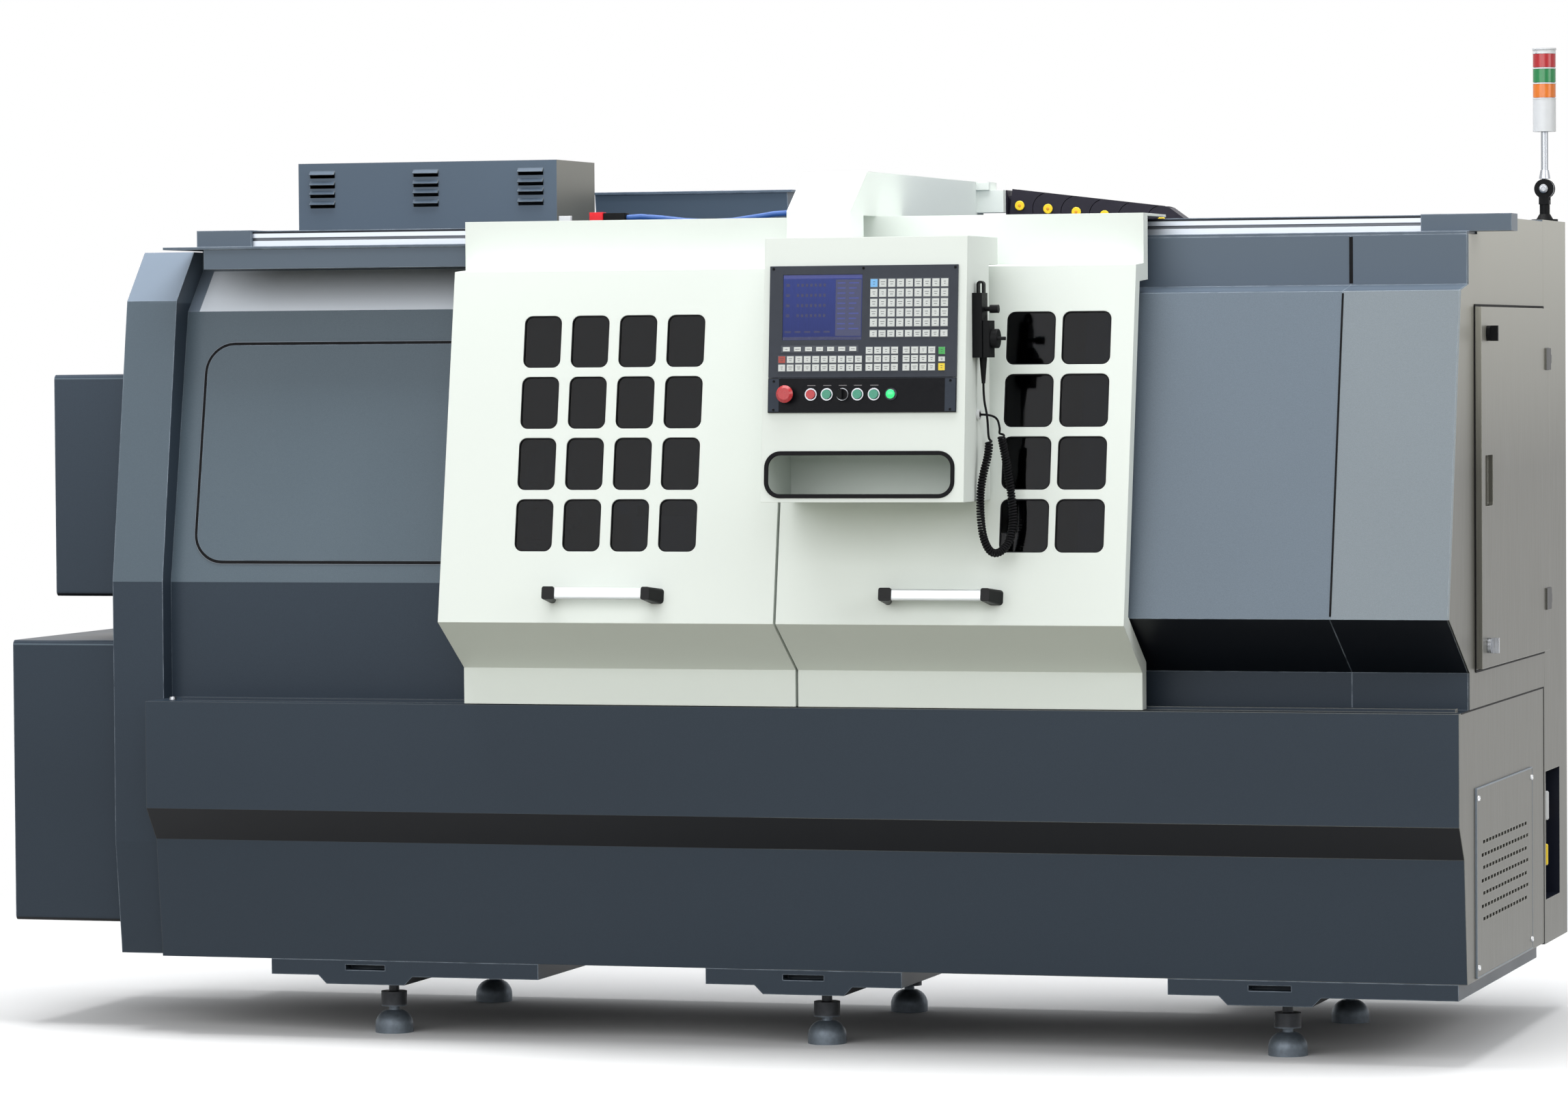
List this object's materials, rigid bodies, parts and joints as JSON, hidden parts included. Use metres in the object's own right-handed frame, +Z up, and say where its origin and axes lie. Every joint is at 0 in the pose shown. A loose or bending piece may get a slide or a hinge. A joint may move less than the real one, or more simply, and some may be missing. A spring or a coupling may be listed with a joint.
{
  "type": "cnc turning lathe",
  "caption": "Turning lathe with an inclined two-door enclosure, a hanging control pendant with handset, flat bed, chuck, tool post, tailstock and signal tower.",
  "frame": {"origin": "centre of the whole machine's bounding box, at the floor under the levelling feet", "axes": "+X towards the tailstock end, +Y from the operator towards the machine's rear, +Z up"},
  "size_m": [3.576, 1.7808, 2.28],
  "materials": {
    "slate_paint": null,
    "cream_paint": null,
    "brushed_steel": null,
    "cast_iron": null,
    "aluminium": null,
    "chrome": null,
    "dark_glass": null,
    "black_plastic": null,
    "dark_panel": null,
    "key_grey": null,
    "red_plastic": null,
    "green_plastic": null,
    "lens_plastic": null,
    "white_plastic": null,
    "black_rubber": null,
    "zinc_steel": null
  },
  "bodies": {
    "machine": {"base_skirt": "slate_paint", "foot_beams": "slate_paint", "levelling_feet": "zinc_steel", "base_vent_cover": "slate_paint", "bed": "cast_iron", "headstock": "cast_iron", "left_end_housing": "slate_paint", "headstock_cover": "slate_paint", "right_cover_inner": "slate_paint", "right_cover_outer": "slate_paint", "right_end_wall": "slate_paint", "enclosure_shell": "slate_paint", "rear_cabinet": "slate_paint", "air_unit": "white_plastic", "spindle_end_cover": "slate_paint", "motor_cover": "slate_paint", "roof_vent_box": "slate_paint", "roof_duct": "slate_paint", "door_rail": "aluminium", "tower_foot": "black_plastic", "drag_chain": "black_plastic"},
    "side_door": {"access_door": "slate_paint"},
    "upper_latch": {"latch_upper": "black_plastic"},
    "lower_latch": {"latch_lower": "black_plastic"},
    "tower": {"tower_pole": "chrome", "tower_body": "white_plastic", "lamp_lenses": "lens_plastic"},
    "front_door_left": {"left_door": "cream_paint", "left_door_glass": "dark_glass", "left_handle": "aluminium"},
    "front_door_right": {"right_door": "cream_paint", "right_door_glass": "dark_glass", "right_handle": "aluminium", "pendant_arm": "cream_paint", "pendant_box": "cream_paint", "cnc_panel": "dark_panel", "panel_keys": "key_grey", "handset": "black_plastic", "cord_gland": "black_plastic", "cord_coil": "black_rubber", "cord_lead_handset": "black_rubber", "cord_lead_pendant": "black_rubber"},
    "stop_button": {"estop_button": "red_plastic"},
    "button_red": {"red_button": "red_plastic"},
    "button_green_1": {"green_button_1": "green_plastic"},
    "button_green_2": {"green_button_2": "green_plastic"},
    "button_green_3": {"green_button_3": "green_plastic"},
    "selector": {"mode_selector": "black_plastic"},
    "pulse_wheel": {"handset_wheel": "black_plastic"},
    "axis_knob": {"handset_knob": "black_plastic"},
    "spindle": {"chuck": "brushed_steel"},
    "jaw_1": {"chuck_jaw_1": "brushed_steel"},
    "jaw_2": {"chuck_jaw_2": "brushed_steel"},
    "jaw_3": {"chuck_jaw_3": "brushed_steel"},
    "saddle": {"carriage": "cast_iron"},
    "cross": {"cross_slide": "cast_iron"},
    "turret": {"tool_post": "brushed_steel"},
    "tail": {"tailstock": "cast_iron"},
    "tail_quill": {"quill": "brushed_steel"}
  },
  "joints": [
    {"name": "right_door_slide", "type": "slide", "parent": "machine", "child": "front_door_right", "axis": [1, 0, 0], "range_m": [0, 0.75], "deforming": ["drag_chain"]},
    {"name": "left_door_slide", "type": "slide", "parent": "machine", "child": "front_door_left", "axis": [-1, 0, 0], "range_m": [0, 0.7]},
    {"name": "access_door_hinge", "type": "hinge", "parent": "machine", "child": "side_door", "pos_m": [1.708, 0.57036, 1.266], "axis": [0, 0, 1], "range_deg": [0, 110]},
    {"name": "upper_latch_turn", "type": "hinge", "parent": "side_door", "child": "upper_latch", "pos_m": [1.714, -0.24964, 1.605], "axis": [1, 0, 0], "range_deg": [-90, 0]},
    {"name": "lower_latch_turn", "type": "hinge", "parent": "side_door", "child": "lower_latch", "pos_m": [1.714, -0.24964, 0.918], "axis": [1, 0, 0], "range_deg": [0, 90]},
    {"name": "tower_fold", "type": "hinge", "parent": "machine", "child": "tower", "pos_m": [1.66, 0.82536, 1.948], "axis": [0, 1, 0], "range_deg": [-90, 0]},
    {"name": "estop_press", "type": "slide", "parent": "front_door_right", "child": "stop_button", "axis": [0, 0.9962, -0.0868], "range_m": [0, 0.004], "stiffness_N_per_m": 600},
    {"name": "red_press", "type": "slide", "parent": "front_door_right", "child": "button_red", "axis": [0, 0.9962, -0.0868], "range_m": [0, 0.004], "stiffness_N_per_m": 600},
    {"name": "green_press_1", "type": "slide", "parent": "front_door_right", "child": "button_green_1", "axis": [0, 0.9962, -0.0868], "range_m": [0, 0.004], "stiffness_N_per_m": 600},
    {"name": "green_press_2", "type": "slide", "parent": "front_door_right", "child": "button_green_2", "axis": [0, 0.9962, -0.0868], "range_m": [0, 0.004], "stiffness_N_per_m": 600},
    {"name": "green_press_3", "type": "slide", "parent": "front_door_right", "child": "button_green_3", "axis": [0, 0.9962, -0.0868], "range_m": [0, 0.004], "stiffness_N_per_m": 600},
    {"name": "selector_turn", "type": "hinge", "parent": "front_door_right", "child": "selector", "pos_m": [0.416, -0.86831, 1.48278], "axis": [0, 0.9962, -0.0868], "range_deg": [-45, 45]},
    {"name": "pulse_wheel_spin", "type": "hinge", "parent": "front_door_right", "child": "pulse_wheel", "pos_m": [0.711, -0.77364, 1.601], "axis": [1, 0, 0], "continuous": true},
    {"name": "axis_knob_turn", "type": "hinge", "parent": "front_door_right", "child": "axis_knob", "pos_m": [0.711, -0.77364, 1.665], "axis": [1, 0, 0], "range_deg": [-60, 60]},
    {"name": "spindle_spin", "type": "hinge", "parent": "machine", "child": "spindle", "pos_m": [-0.632, 0.07536, 1.228], "axis": [1, 0, 0], "continuous": true},
    {"name": "jaw_slide_1", "type": "slide", "parent": "spindle", "child": "jaw_1", "axis": [0, 0, 1], "range_m": [-0.02, 0.012]},
    {"name": "jaw_slide_2", "type": "slide", "parent": "spindle", "child": "jaw_2", "axis": [0, -0.866, -0.5], "range_m": [-0.02, 0.012]},
    {"name": "jaw_slide_3", "type": "slide", "parent": "spindle", "child": "jaw_3", "axis": [0, 0.866, -0.5], "range_m": [-0.02, 0.012]},
    {"name": "carriage_slide", "type": "slide", "parent": "machine", "child": "saddle", "axis": [1, 0, 0], "range_m": [-0.13, 0.6]},
    {"name": "cross_slide_move", "type": "slide", "parent": "saddle", "child": "cross", "axis": [0, 1, 0], "range_m": [-0.13, 0.09]},
    {"name": "tool_post_index", "type": "hinge", "parent": "cross", "child": "turret", "pos_m": [-0.192, -0.17464, 1.15], "axis": [0, 0, 1], "continuous": true},
    {"name": "tailstock_slide", "type": "slide", "parent": "machine", "child": "tail", "axis": [1, 0, 0], "range_m": [-0.25, 0.25]},
    {"name": "quill_slide", "type": "slide", "parent": "tail", "child": "tail_quill", "axis": [-1, 0, 0], "range_m": [0, 0.1]}
  ],
  "couplings": [
    {"joint": "jaw_slide_2", "follows": "jaw_slide_1", "ratio": 1},
    {"joint": "jaw_slide_3", "follows": "jaw_slide_1", "ratio": 1}
  ]
}
